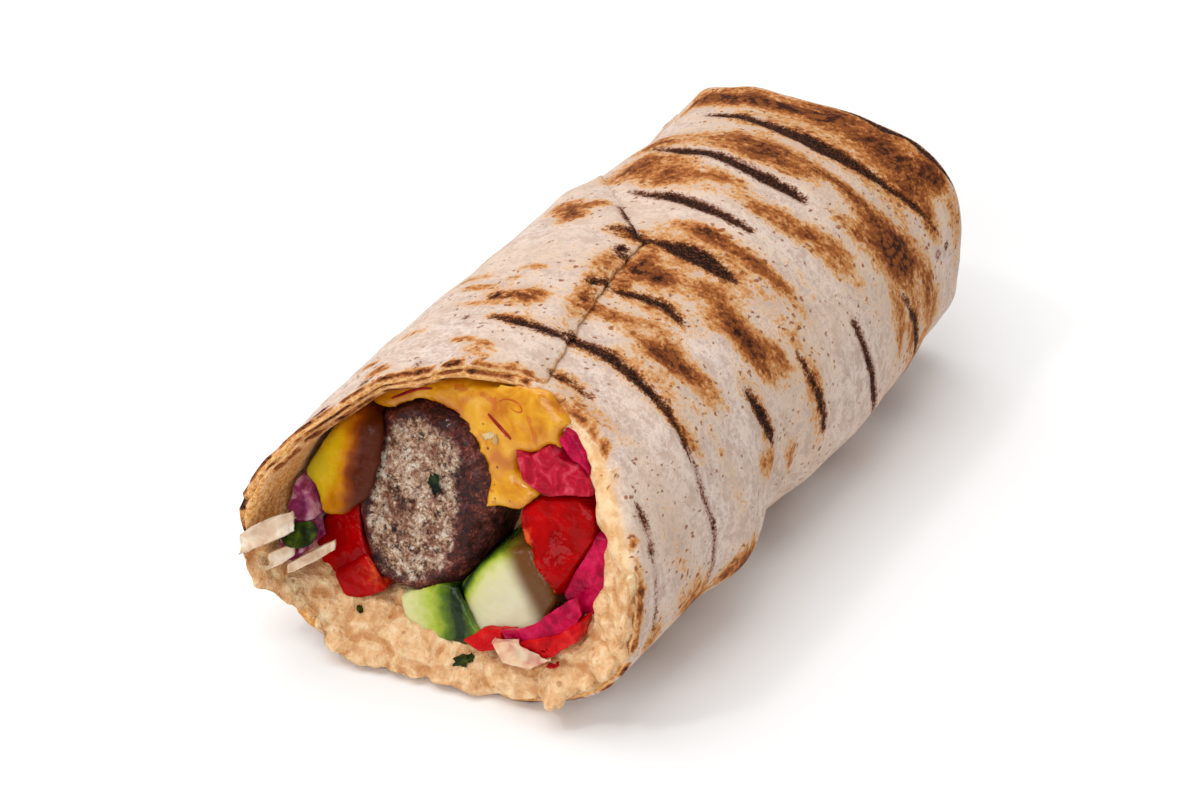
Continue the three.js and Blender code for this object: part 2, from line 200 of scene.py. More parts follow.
def swell(angle, y):
    """What the hand that rolled it left: a flare at the mouth, a bulge, a pinch, a belly."""
    out = (1 - smoothstep(y, -80, -45)) * humps(angle, MOUTH_FLARES)
    for size, station, reach, at, reach_round in SWELLINGS:
        out += size * gauss(y, station, reach) * gauss(angle, at, reach_round)
    return out


def section(angle, y, depth):
    """A point of the roll at a station, a depth below its outside."""
    angle = wrapped(angle)
    far = smoothstep(y, FAR_TAPER_FROM, FAR_END)
    near = 1 - smoothstep(y, *MOUTH_TAPER)
    half = HALF_WIDTH - 0.6 * FAR_DROP * far - MOUTH_NARROWER * near + swell(angle, y) - depth
    crown = CROWN - FAR_DROP * far - MOUTH_LOWER * near - depth
    widest = WIDEST_AT * (CROWN - FAR_DROP * far)
    boxy = lerp(1, BOXY, smoothstep(y, BOXY_FROM, FAR_END))
    s = math.sin(math.radians(angle))
    c = math.cos(math.radians(angle))
    if c > 0:
        x = half * math.copysign(abs(s) ** boxy, s)
        return Vector((x, y, widest + (crown - widest) * c**boxy))
    share, power = FLAT_UNDER
    flat = min(1, share * abs(c) ** power)
    return Vector((half * s, y, widest - (widest - depth) * flat))


def folded_end(angle, fold, depth):
    """A point of the folded end: fold runs from 0 at the roll's side to 1 at the slit."""
    inward = max(0, (fold - FOLD_TURN) / (1 - FOLD_TURN))
    inward = (smoothstep(fold, FOLD_TURN, 1) + inward) / 2
    bend = min(1, fold / FOLD_TURN) * math.pi / 2
    radius = FOLD_RADIUS - depth
    edge = section(angle, FOLD_FROM, FOLD_RADIUS - radius * math.cos(bend))
    s = math.sin(math.radians(angle))
    c = math.cos(math.radians(angle))
    x = lerp(edge.x, SLIT_HALF * s, inward)
    z = lerp(edge.z, SLIT_Z + SLIT_AIR * c, inward)
    y = FOLD_FROM + radius * math.sin(bend) - DIMPLE * inward**1.5
    return Vector((x, y, z))


def puff(angle, y):
    """The edge on the upper right of the mouth is puffed to a bead."""
    angle = wrapped(angle)
    inward = y - round_the_rim(RIM, angle)
    return PUFF * between(angle, 6, 24, 62, 90) * (1 - smoothstep(inward, 0, 9))


# Burnt stripes where the roll touched the grill: (angle, station, half its width) along each
STRIPES = [
    [(-24, 57.5, 0.3), (-10, 57.3, 1.2), (4, 55.6, 2.0), (16, 54.8, 2.4), (28, 56, 1.6),
     (42, 57.6, 0.8), (58, 60.5, 0.5), (68, 62, 0.1)],
    [(-28, 37.6, 0.2), (-16, 36.2, 1.0), (0, 35.2, 1.3), (14, 34.4, 1.6), (27, 34.2, 0.7)],
    [(-20, 20.2, 0.3), (-8, 19.4, 1.0), (6, 18, 1.3), (16, 17.2, 1.0), (23, 17, 0.3)],
    [(3, 3.2, 0.5), (11, 4, 1.9), (18, 4.2, 2.2), (26, 3.4, 1.5), (31, 3, 0.4)],
    [(7, -15, 0.4), (14, -13.4, 0.9), (21, -13, 1.1), (29, -14.4, 0.6)],
    [(57, -15.6, 0.5), (66, -15.2, 1.4), (73, -14.6, 1.1), (79, -14, 0.3)],
    [(-14, -35.8, 0.4), (-6, -35.6, 1.0), (3, -35.2, 0.8), (8, -34.4, 0.6)],
    [(8, -33, 0.7), (15, -32.3, 1.2), (24, -32.8, 1.1), (34, -34, 0.9), (44, -35.4, 0.7),
     (56, -38, 0.3)],
    [(12, -44.2, 0.1), (18, -42.8, 0.5), (26, -44, 0.1)],
    [(60, 2, 0.2), (70, 2.4, 0.6), (80, 4, 0.8), (91, 4.8, 0.4)],
    [(66, 21.2, 0.5), (76, 22, 0.7), (86, 23.4, 0.9), (96, 25.2, 0.7), (107, 28, 0.3)],
    [(74, 41, 0.4), (84, 43.6, 0.6), (92, 46.6, 0.9), (103, 49, 0.5)],
    [(3, 74.8, 0.3), (11, 74, 1.6), (19, 73, 2.2), (27, 74.2, 1.4), (36, 73.2, 2.2),
     (48, 73.8, 1.7), (60, 74.6, 0.6)],
    [(43, -57.2, 0.2), (47, -57.8, 0.8), (51, -58.4, 0.3)],
    [(-17, 11.8, 0.2), (-12, 8.9, 0.5), (-6, 5.2, 0.2), (-1.5, 2.5, 0.8)],
    [(57, -38.3, 0.0), (72, -39.6, 0.1), (90, -39, 0.15), (104, -39.6, -0.1)],
    [(58, -55.4, 0.2), (65, -56, 0.6), (68, -56.6, -0.2), (72, -57.2, 0.6), (76, -57.6, -0.2),
     (100, -58.6, 0.0)],
]

# Burnt spots, and the curled flakes along the flap's edge: (angle, station, radius)
SPOTS = [
    (-21, -27.6, 1.1), (-17, -27.8, 0.9), (-23, -35.8, 0.5), (-10.5, -26, 0.7), (42, -7.6, 1.1),
    (47, -7.2, 0.9), (13, -6.4, 1.0), (31.5, -25.2, 0.8), (20, 66.2, 1.3), (51, 68.4, 1.1),
    (45, 69.2, 0.9), (-1.8, -3.6, 1.0), (-0.2, -5.2, 1.0), (2.4, -14.8, 1.0), (0.6, -16.6, 1.1),
    (2.2, -20, 0.5), (2.8, -22, 0.6), (3.4, -24, 0.4), (-3, 3, 1.3), (-0.6, 2, 1.2),
    (-6, 3.2, 0.8), (-8.6, 1.6, 0.8), (-6, 0.2, 0.6), (76, 60.4, 0.7), (78, 64.6, 0.6),
    (-98.5, -75, 1.3), (-94, -75.6, 0.8), (-86, -75, 1.4), (-82.5, -74.7, 0.7), (-74, -73, 0.9),
    (-66, -71.2, 1.2), (-63, -70.4, 0.6), (-51, -66.2, 0.7), (-47.5, -65, 1.2), (-36, -58.6, 1.0),
    (-22, -52.6, 0.6),
]

# Toasted blotches: (angle, station, half its reach round, half its reach along, how brown)
BLOTCHES = [
    (-24, 66.5, 18, 3.2, 0.85), (-6, 67.2, 7, 2.4, 0.6), (5, 67.5, 5, 3.5, 0.6),
    (20, 66, 11, 4, 0.75), (34, 64, 8, 4, 0.55), (47, 68, 9, 3.6, 0.8), (46, 61, 8, 4, 0.45),
    (10, 71.5, 40, 2.4, 0.35), (70, 70, 20, 3, 0.3), (18, 56, 34, 4, 0.35),
    (60, 61.5, 12, 2.2, 0.5), (4, 45, 22, 4.5, 0.55), (8, 41, 14, 3.5, 0.4),
    (32, 46.2, 11, 1.7, 0.6), (48, 45.5, 9, 4, 0.5), (62, 47, 11, 4.6, 0.9),
    (60, 41.6, 10, 2.6, 0.55), (80, 53, 13, 3.2, 0.5), (88, 44.6, 14, 3, 0.5),
    (82, 37.8, 12, 2.6, 0.45), (46, 38, 9, 2.6, 0.4), (95, 57, 10, 5, 0.3), (-30, 41, 12, 3, 0.5),
    (-25, 32, 16, 4, 0.5), (-12, 26, 14, 4, 0.5), (-32, 28, 8, 3, 0.4), (6, 29, 8, 2, 0.4),
    (36, 26.6, 16, 2.6, 0.5), (22, 24, 10, 2.2, 0.4), (46, 30, 8, 2, 0.3),
    (26, 10.2, 20, 1.7, 0.65), (12, 11.5, 8, 1.5, 0.4), (16, 4, 20, 4.5, 0.4),
    (72, 3, 18, 2.4, 0.35), (12, -6, 9, 3.4, 0.75), (30, -3.4, 8, 2.6, 0.45),
    (44, -7.4, 12, 3, 0.9), (58, -3, 8, 2.4, 0.45), (56, -8.4, 6, 2, 0.35), (84, -17, 5, 3, 0.4),
    (20, -14, 14, 3, 0.4), (66, -15, 13, 2.4, 0.4), (32, -24.6, 8, 3, 0.8), (46, -24, 10, 3, 0.4),
    (12, -22, 8, 2.4, 0.45), (24, -20, 8, 2, 0.3), (24, -33, 22, 2.4, 0.3),
    (50, -36, 12, 1.6, 0.4), (18, -43, 7, 2, 0.4), (-11, -26.4, 4.5, 2.6, 0.7),
    (-20, -27.6, 6, 1.6, 0.5), (-8, -35.4, 9, 1.8, 0.45), (-30, -24, 9, 1.4, 0.4),
    (-22, -30.6, 12, 1, 0.35), (-16, -44.6, 4, 1, 0.6), (-8, -44.6, 3, 1, 0.5),
    (-9, -47.2, 4, 1, 0.5), (-35, -55, 4, 1.8, 0.7), (-46, -50, 4, 1.2, 0.6),
    (-37, -41.5, 4, 0.8, 0.5), (-19, -16.6, 4, 1, 0.4), (-22, -20.6, 3, 0.9, 0.35),
    (-40, -19, 9, 1.4, 0.3), (-31, 9, 6, 3.4, 0.6), (-38, 13, 6, 3, 0.45), (-26, 5, 5, 2.4, 0.5),
    (-22, 11, 4, 2, 0.3), (-2, -10, 3, 5, 0.3), (-4, 1.4, 6, 2, 0.5), (1, -19, 2.4, 6, 0.45),
    (4, -25, 3, 4, 0.4), (6, -6, 3, 8, 0.5), (106, -33, 5, 3.4, 0.55), (102, -47, 6, 4, 0.35),
    (104, -58, 8, 3, 0.4), (92, -6, 5, 1.6, 0.3), (30, -46.5, 14, 2, 0.25),
    (72, -30, 30, 2, 0.12), (80, -50, 20, 4, 0.14), (42, 10, 20, 9, 0.13), (30, -29, 16, 5, 0.1),
    (-12, -14, 18, 10, 0.08), (60, 32, 24, 8, 0.1), (2, 62, 34, 8, 0.12), (84, -2, 16, 10, 0.08),
]

turned = random.Random(12)


def blotch(around, station, beyond, half_round, half_along, brown):
    """Adds a blotch by chance: its angle, station, reaches and brown, each between limits."""
    BLOTCHES.append((
        turned.uniform(*around), station + turned.uniform(*beyond),
        turned.uniform(*half_round), turned.uniform(*half_along), turned.uniform(*brown),
    ))


# The side turned away and the underside are marked alike, by a seeded rule
for k in range(13):
    station = -58 + 10.4 * k + turned.uniform(-1.5, 1.5)
    start = turned.uniform(126, 150)
    stop = turned.uniform(190, 232)
    middle = turned.uniform(start + 15, stop - 15)
    half = turned.uniform(0.8, 1.9)
    STRIPES.append([
        (start, station - 1, 0.2), (middle, station, half), (stop, station + 1.5, 0.2),
    ])
    for _ in range(5):
        blotch((112, 262), station, (1, 9), (5, 16), (1.5, 4), (0.3, 0.8))

# So is the left, below the flap
for k in range(9):
    station = -52 + 14 * k + turned.uniform(-3, 3)
    start = turned.uniform(-96, -78)
    half = turned.uniform(0.5, 1.1)
    STRIPES.append([
        (start, station, 0.2), (start + 12, station + 0.6, half), (start + 24, station + 1, 0.2),
    ])
    for _ in range(3):
        blotch((-100, -58), station, (2, 12), (4, 12), (1.5, 3.5), (0.25, 0.7))

# The folded end has blotches alone, all round
for k in range(16):
    blotch((22.5 * k - 8, 22.5 * k + 8), FAR_END, (2, 26), (8, 18), (2, 6), (0.35, 0.85))

UNBURNT = -3.0
INNER_TOAST = 0.04
STRIPE_REACH, SPOT_REACH, BLOTCH_REACH = 12, 4, 2.2  # beyond these a mark does nothing
EDGE_REACH = 6
EDGE_WAVES = ((1.2, 30, 11), (0.8, 80, 17))
LIP_WAVES = ((1.1, 44, 21), (0.9, 120, 5))


def stripe_depth(stripe, angle, station):
    """How far inside a burnt stripe a place is, in millimetres, negative outside it."""
    held = min(max(angle, stripe[0][0]), stripe[-1][0])
    for (a0, s0, w0), (a1, s1, w1) in zip(stripe, stripe[1:]):
        if held <= a1:
            break
    t = (held - a0) / (a1 - a0)
    beyond = (angle - held) * MM_PER_DEGREE
    return lerp(w0, w1, t) - math.hypot(station - lerp(s0, s1, t), beyond)


def spot_depth(spot, angle, station):
    middle, at, radius = spot
    return radius - math.hypot(station - at, wrapped(angle - middle) * MM_PER_DEGREE)


def burnt(angle, station):
    """How far inside the nearest stripe or spot a place is, in millimetres."""
    deepest = UNBURNT
    for stripe in STRIPES:
        if abs(station - stripe[0][1]) < STRIPE_REACH:
            deepest = max(deepest, stripe_depth(stripe, angle, station))
    for spot in SPOTS:
        if abs(station - spot[1]) < SPOT_REACH:
            deepest = max(deepest, spot_depth(spot, angle, station))
    return deepest


def toasted(angle, station):
    """How brown a place is, from 0, through all the blotches that reach it."""
    total = 0.0
    for middle, at, reach_round, reach_along, strength in BLOTCHES:
        along = (station - at) / reach_along
        if abs(along) < BLOTCH_REACH:
            about = wrapped(angle - middle) / reach_round
            total += strength * math.exp(-about * about - along * along)
    return total


def right_lip(angle):
    """1 along the puffed edge on the upper right of the mouth."""
    return between(angle, 7, 13, 70, 90)


def edge_toast(angle, inward, w):
    """How brown the sheet's front edge is; w runs from 0 on its outer face to 1 on the inner."""
    if inward > EDGE_REACH:
        return 0
    lip = right_lip(angle)
    flap_lip = between(angle, -84, -62, -16, -4)
    corner = 0.95 * math.exp(-inward / 0.9) * (1 - lip) * (1 - smoothstep(w, 0.1, 0.4))
    on_bead = 0.7 * math.exp(-inward / 1.2) * gauss(w, 0.1, 0.1) * lip
    inside = 0.75 * math.exp(-inward / 1.3) * smoothstep(w, 0.55, 0.8) * flap_lip
    scorched = max(0, ragged(0.55, angle, EDGE_WAVES))
    broken = max(0, ragged(0.5, angle, LIP_WAVES))
    return corner * scorched + (on_bead + inside) * broken


def creases(angle, y, p):
    """Millimetres that the bread stands out: it is pillowy, and wrinkled at the pinch."""
    pillows = 0.5 * noise.noise(p / 15) + 0.25 * noise.noise(p / 6 + Vector((9, 0, 0)))
    pinch = gauss(y, -14, 13) * gauss(angle, 100, 22)
    wrinkles = 0.9 * pinch * math.sin(0.55 * (y + 0.32 * (angle - 100)))
    long_folds = 0.35 * gauss(angle, -28, 20) * math.sin(math.radians(14 * angle + 3 * y))
    return pillows + wrinkles + long_folds


def soft_mesh(bm, name):
    """A finished mesh in the frame's metres, shaded smooth."""
    bmesh.ops.transform(bm, matrix=TO_FRAME, verts=bm.verts)
    bmesh.ops.recalc_face_normals(bm, faces=bm.faces)
    mesh = bpy.data.meshes.new(name)
    bm.to_mesh(mesh)
    bm.free()
    mesh.shade_smooth()
    return mesh


def dressed(name, mesh, material, slot, *nodes):
    """Puts a finished mesh in the scene as the piece that stands for some of the solids."""
    mesh.materials.clear()
    mesh.materials.append(material)
    piece = bpy.data.objects.new(name, mesh)
    bpy.context.scene.collection.objects.link(piece)
    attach(piece, "root")
    if nodes:
        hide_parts(*nodes)


def flat_sheet(around, along, through):
    """A square slab of dough: the height of a point is 0 on its outer face, 1 on its inner."""
    bm = bmesh.new()
    bmesh.ops.create_grid(bm, x_segments=around, y_segments=along, size=0.5)
    inner = bmesh.ops.extrude_face_region(bm, geom=bm.faces[:])["geom"]
    for part in inner:
        if isinstance(part, bmesh.types.BMVert):
            part.co.z = 1
    edge_walls = [e for e in bm.edges if abs(e.verts[0].co.z - e.verts[1].co.z) > 0.5]
    bmesh.ops.subdivide_edges(bm, edges=edge_walls, cuts=through)
    return bm


def bread_mesh():
    bm = flat_sheet(around=190, along=224, through=7)
    toast, burn, gold, cream = (
        bm.verts.layers.float.new(mark) for mark in ("toast", "burn", "gold", "cream"))
    roll = bm.verts.layers.float_vector.new("roll")
    for vert in bm.verts:
        u, v, w = vert.co.x + 0.5, vert.co.y + 0.5, vert.co.z
        front = sheet_front(lerp(SHEET_START, SHEET_END, u))
        y = lerp(front, FOLD_FROM, min(1, v / SIDE_SHARE) ** ROW_SPREAD)
        inward = y - front
        fold = (v - SIDE_SHARE) / (1 - SIDE_SHARE)
        nose = math.sin(math.pi * w)  # rounds the sheet's edges
        edge = flap_edge(y) + FRAY * noise.noise(Vector((y / 3, 0, 5)))
        angle = lerp(SHEET_START, 360 + edge, u) + (nose if u > 0.9999 else 0)
        first_turn = angle < 180
        under = under_flap(angle, y) if first_turn else 0
        bead = BEAD * puff(angle, y) if first_turn else 0
        lip = right_lip(angle) if first_turn else 0

        # The flap's edge is pressed down on the layer under it
        back = smoothstep(y, 10, 30)
        pressed = 1 - smoothstep((360 + edge - angle) * MM_PER_DEGREE, 0, lerp(4, 12, back))
        depth = (LAYER - LAYER_SUNK - 0.9 * math.exp(-inward / 2)) * under
        depth += lerp(lerp(0.9, 1.5, back) * pressed, BREAD + bead + 0.3 * pressed, w)
        p = section(angle, y, depth)
        depth -= creases(wrapped(angle), y, p) + 0.3 * bead * w * noise.noise(p / 2)

        # Marks are left out where the sheet lies under its own flap, and on its inner face
        station = y if fold < 0 else FOLD_FROM + FOLD_REACH * fold
        beside = angle - flap_edge(y)
        place = wrapped(angle) if not first_turn or beside > -6 else angle
        outside = (w < 0.6 or inward < 1.6) and (not first_turn or beside > -4)
        vert[burn] = burnt(place, station) if outside else UNBURNT
        vert[toast] = toasted(place, station) if outside else INNER_TOAST
        vert[toast] += edge_toast(wrapped(angle), inward, w)
        inner_face = 1 if not outside else smoothstep(w, 0.1, 0.4)
        vert[gold] = inner_face * (1 - lip) * math.exp(-max(0, inward - 10) / 12)
        vert[cream] = lip * smoothstep(w, 0.08, 0.3)
        vert[roll] = Vector((angle * MM_PER_DEGREE, station, 9 * w)) / 1000
        depth += 0.35 * smoothstep(vert[burn], -0.6, 0.8)
        depth -= 0.15 * smoothstep(vert[toast], 0.3, 0.9)

        if fold < 0:
            vert.co = section(angle, y, depth)
        else:
            vert.co = folded_end(angle, fold, depth)
        if v < 0.0001:
            vert.co.y -= (0.6 + 0.3 * bead) * nose
        vert.co.z = max(0, vert.co.z)
    return soft_mesh(bm, "flatbread")


def rgb(red, green, blue):
    """A colour as it looks, 0 to 255, turned to the light that a shader works in."""
    light = []
    for share in (red / 255, green / 255, blue / 255):
        light.append(share / 12.92 if share < 0.04045 else ((share + 0.055) / 1.055) ** 2.4)
    return (*light, 1)


class Finish:
    """A material whose nodes are added one call at a time."""

    def __init__(self, name, **fixed):
        self.material = bpy.data.materials.new(name)
        self.material.use_nodes = True
        self.nodes = self.material.node_tree.nodes
        self.links = self.material.node_tree.links
        self.surface = self.nodes["Principled BSDF"]
        for socket, value in fixed.items():
            self.surface.inputs[socket.replace("_", " ")].default_value = value

    def feed(self, socket, value):
        if isinstance(value, bpy.types.NodeSocket):
            self.links.new(value, socket)
        else:
            socket.default_value = value

    def place(self):
        return self.node("ShaderNodeTexCoord", {}).outputs["Object"]

    def node(self, kind, inputs, **settings):
        made = self.nodes.new(kind)
        for key, value in settings.items():
            setattr(made, key, value)
        for key, value in inputs.items():
            self.feed(made.inputs[key], value)
        return made

    def attribute(self, name):
        return self.node("ShaderNodeAttribute", {}, attribute_name=name).outputs["Fac"]

    def grain(self, size_mm, detail=2.0, rough=0.55, bend=0.0):
        """Soft noise from 0 to 1 whose lumps are about this many millimetres wide."""
        inputs = {
            "Vector": self.place(), "Scale": 1000 / size_mm, "Detail": detail, "Roughness": rough,
            "Distortion": bend,
        }
        return self.node("ShaderNodeTexNoise", inputs).outputs["Fac"]

    def sum(self, kind, a, b, c=0.5):
        return self.node("ShaderNodeMath", {0: a, 1: b, 2: c}, operation=kind).outputs[0]

    def blended(self, *parts):
        """The sum of some noises, each given with its share."""
        total = self.sum("MULTIPLY", *parts[0])
        for noise_value, share in parts[1:]:
            total = self.sum("MULTIPLY_ADD", noise_value, share, total)
        return total

    def stirred(self, value, by, reach):
        """A value swung up and down by a noise from 0 to 1, so that its edges are ragged."""
        return self.sum("MULTIPLY_ADD", self.sum("SUBTRACT", by, 0.5), reach, value)

    def specks(self, crowd, share, apart_mm):
        """Above 0 in small specks, which are larger where the crowd noise is higher."""
        inputs = {"Vector": self.place(), "Scale": 1000 / apart_mm}
        cells = self.node("ShaderNodeTexVoronoi", inputs).outputs["Distance"]
        return self.sum("SUBTRACT", self.sum("MULTIPLY", crowd, share), cells)

    def step(self, value, low, high, start=0.0, end=1.0):
        inputs = {0: value, 1: low, 2: high, 3: start, 4: end}
        made = self.node("ShaderNodeMapRange", inputs, interpolation_type="SMOOTHSTEP")
        return made.outputs[0]

    def ramp(self, value, *stops):
        made = self.node("ShaderNodeValToRGB", {0: value})
        elements = made.color_ramp.elements
        while len(elements) < len(stops):
            elements.new(0.5)
        for element, (position, colour) in zip(elements, stops):
            element.position = position
            element.color = colour
        return made.outputs["Color"]

    def mix(self, share, first, second):
        inputs = {0: share, 6: first, 7: second}
        return self.node("ShaderNodeMix", inputs, data_type="RGBA").outputs[2]

    def colour(self, value):
        self.feed(self.surface.inputs["Base Color"], value)

    def roughness(self, value):
        self.feed(self.surface.inputs["Roughness"], value)

    def bump(self, height, depth_mm):
        inputs = {"Height": height, "Distance": depth_mm / 1000, "Strength": 1.0}
        made = self.node("ShaderNodeBump", inputs)
        previous = self.surface.inputs["Normal"]
        if previous.is_linked:
            self.links.new(previous.links[0].from_socket, made.inputs["Normal"])
        self.links.new(made.outputs["Normal"], previous)


def bread_finish():
    """Floury dough: mottled cream, browned in steps where it is toasted, black where burnt."""
    bread = Finish("grilled flatbread", Specular_IOR_Level=0.1, Roughness=0.8)
    roll = bread.node("ShaderNodeAttribute", {}, attribute_name="roll").outputs["Vector"]
    along_girth = bread.node("ShaderNodeMapping", {"Vector": roll, "Scale": (0.5, 1, 1)})
    fine = bread.grain(0.9, 3, 0.7)
    crumb = bread.grain(0.45, 2, 0.6)
    mottle = bread.grain(3.6, 3, 0.6, 0.3)
    broad = bread.grain(17, 2)
    streaks = bread.node("ShaderNodeTexNoise", {
        "Vector": along_girth.outputs[0], "Scale": 340, "Detail": 5, "Roughness": 0.7,
        "Distortion": 0.4,
    }).outputs["Fac"]
    pale = bread.blended((streaks, 0.4), (fine, 0.35), (mottle, 0.25))
    dough = bread.mix(bread.step(pale, 0.42, 0.58), rgb(198, 172, 157), rgb(230, 211, 199))
    dough = bread.mix(bread.step(broad, 0.35, 0.65, 0.0, 0.45), dough, rgb(222, 194, 170))
    golden = bread.mix(bread.step(fine, 0.4, 0.6), rgb(206, 138, 70), rgb(240, 190, 124))
    dough = bread.mix(bread.attribute("gold"), dough, golden)
    creamy = bread.mix(bread.step(mottle, 0.38, 0.6), rgb(222, 172, 118), rgb(242, 208, 162))
    dough = bread.mix(bread.attribute("cream"), dough, creamy)
    uneven = bread.stirred(bread.sum("SUBTRACT", streaks, 0.5), fine, 0.9)
    uneven = bread.stirred(uneven, mottle, 0.5)
    toast = bread.attribute("toast")
    toast = bread.sum("MULTIPLY_ADD", uneven, bread.sum("MULTIPLY_ADD", toast, 1.3, 0.42), toast)
    browned = bread.ramp(
        toast, (0.1, rgb(222, 186, 148)), (0.25, rgb(207, 150, 96)), (0.42, rgb(174, 104, 52)),
        (0.62, rgb(118, 62, 30)), (0.88, rgb(58, 28, 16)),
    )
    colour = bread.mix(bread.step(toast, 0.04, 0.24), dough, browned)
    swirl = bread.node("ShaderNodeTexNoise", {"Vector": roll, "Scale": 900}).outputs["Color"]
    bent = bread.node("ShaderNodeMix", {0: 0.0016, 4: roll, 5: swirl}, data_type="VECTOR")
    dots = bread.node("ShaderNodeTexVoronoi", {"Vector": bent.outputs[1], "Scale": 520})
    crowd = bread.blended((toast, 0.4), (bread.grain(9, 3, 0.7), 0.8))
    freckles = bread.sum("SUBTRACT", crowd, bread.sum("ADD", dots.outputs["Distance"], 0.19))
    colour = bread.mix(bread.step(freckles, 0.0, 0.16, 0.0, 0.85), colour, rgb(140, 78, 36))
    burn = bread.sum("MULTIPLY_ADD", uneven, 2.0, bread.attribute("burn"))
    burn = bread.stirred(burn, crumb, 1.6)
    colour = bread.mix(bread.step(burn, -1.0, 0.0, 0.0, 0.85), colour, rgb(128, 66, 30))
    char = bread.mix(bread.step(crumb, 0.46, 0.66), rgb(28, 12, 7), rgb(96, 52, 30))
    colour = bread.mix(bread.step(burn, -0.2, 0.25), colour, char)
    bread.colour(colour)
    bread.bump(mottle, 0.4)
    bread.bump(fine, 0.3)
    bread.bump(bread.step(burn, -0.4, 0.4, 1.0, 0.0), 0.3)
    return bread.material


dressed("flatbread", bread_mesh(), bread_finish(), "flatbread", "bread")


# ----------------------------------------
# Hummus
# A rough paste, spread over the bread before it was rolled. It fills the wrap behind the other
# fillings and is heaped over the lower edge of the mouth as a lumpy lip with a few drips.

SLOPE = 0.36  # the mouth leans back by this much for every millimetre of height
ROOM_GAP = 0.55  # between the bread and the paste
LIP_FORWARD = 2
LIP_INSIDE = -71.5
LIP_INNER = (0.85, 0.85, 0.86, 0.82, 0.8, 0.83, 0.77, 0.75, 0.92, 0.93, 0.9, 0.88)
DRIPS = ((3, 136, 8), (2, 210, 7), (2, 250, 10))  # how far forward, angle, reach
NICKS = ((1.6, 227, 8), (-0.8, 188, 8))  # how far back, angle, reach
HOLLOW = 15
BARE_TOP = 50  # height of the bare bread over the fillings
TO_LIP, OVER_LIP, TO_ROLL = 0.55, 0.66, 0.7  # shares of the way from the middle to the far end
TO_FOLD = 0.85  # share of the rest of it


def room_depth(angle, y):
    return BREAD + ROOM_GAP + LAYER * under_flap(wrapped(angle), y) + puff(angle, y)


def lip_cover(angle):
    """1 where the paste is heaped over the rim."""
    return between(angle, 52, 78, 261, 273)


def lumps(p):
    """Millimetres that the paste stands out: soft rounded clots with creases between them."""
    big = abs(noise.noise(p / 6.2 + Vector((3, 0, 0))))
    small = abs(noise.noise(p / 2.9))
    return 2.6 * big + 1.1 * small - 0.85


def hummus_place(angle, t):
    """A point of the paste: t runs from its middle, over the lip, back to its far end."""
    rim = sheet_front(wrapped(angle))
    cover = lip_cover(angle)
    lip = rim - LIP_FORWARD - humps(angle, DRIPS) + humps(angle, NICKS)
    outer = lerp(room_depth(angle, rim), 0.9, cover)
    start = lerp(LIP_INSIDE + HOLLOW + SLOPE * BARE_TOP, lip, cover)
    if t <= TO_LIP:
        r = (t / TO_LIP) ** 0.8
        p = Vector((0, 0, WIDEST_AT * CROWN)).lerp(section(angle, rim, outer + 1), r)
        inner = round_the_rim(LIP_INNER, angle)
        hollow = LIP_INSIDE + HOLLOW + SLOPE * p.z
        inside = hollow - HOLLOW * smoothstep(r, inner - 0.22, inner)
        across = max(0, (r - inner) / (1 - inner))
        p.y = lerp(hollow, lerp(inside, lip, across**1.2), cover)
        return p
    turn_at = max(start, rim - 0.3)
    if t <= OVER_LIP:
        k = (t - TO_LIP) / (OVER_LIP - TO_LIP)
        return section(angle, lerp(start, turn_at, k), outer + (1 - k) ** 2)
    if t <= TO_ROLL:
        k = (t - OVER_LIP) / (TO_ROLL - OVER_LIP)
        y = lerp(turn_at, turn_at + 0.6, k)
        return section(angle, y, lerp(outer, max(outer, room_depth(angle, y)), k))
    k = (t - TO_ROLL) / (1 - TO_ROLL)
    if k <= TO_FOLD:
        y = lerp(turn_at + 0.6, FOLD_FROM, k / TO_FOLD)
        return section(angle, y, room_depth(angle, y))
    return folded_end(angle, (k - TO_FOLD) / (1 - TO_FOLD), BREAD + ROOM_GAP + 1)


def unrolled(co):
    """The angle of a point of a ball of radius 1, and its share of the way from top to bottom."""
    down = math.acos(max(-1, min(1, co.z))) / math.pi
    at_pole = down < 0.001 or down > 0.999
    return (0 if at_pole else math.degrees(math.atan2(co.x, co.y)) % 360), down


def hummus_mesh():
    bm = bmesh.new()
    bmesh.ops.create_uvsphere(bm, u_segments=380, v_segments=240, radius=1)
    crease = bm.verts.layers.float.new("crease")
    for vert in bm.verts:
        vert.co = hummus_place(*unrolled(vert.co))
    bmesh.ops.recalc_face_normals(bm, faces=bm.faces)
    bm.normal_update()
    top_rim = sheet_front(0)
    for vert in bm.verts:
        showing = 1 - smoothstep(vert.co.y, top_rim - 6, top_rim + 4)
        height = lumps(vert.co)
        # How deep the point lies in a crease, where the finish paints shade
        vert[crease] = 1 - smoothstep(height, -0.75, 0.05)
        vert.co += vert.normal * height * showing
        vert.co.z = max(0, vert.co.z)
    return soft_mesh(bm, "hummus")


def moist(name, share, radius, **fixed):
    """A finish that light sinks into a little, as into moist food."""
    return Finish(name, Subsurface_Weight=share, Subsurface_Radius=radius,
                  Subsurface_Scale=0.002, **fixed)


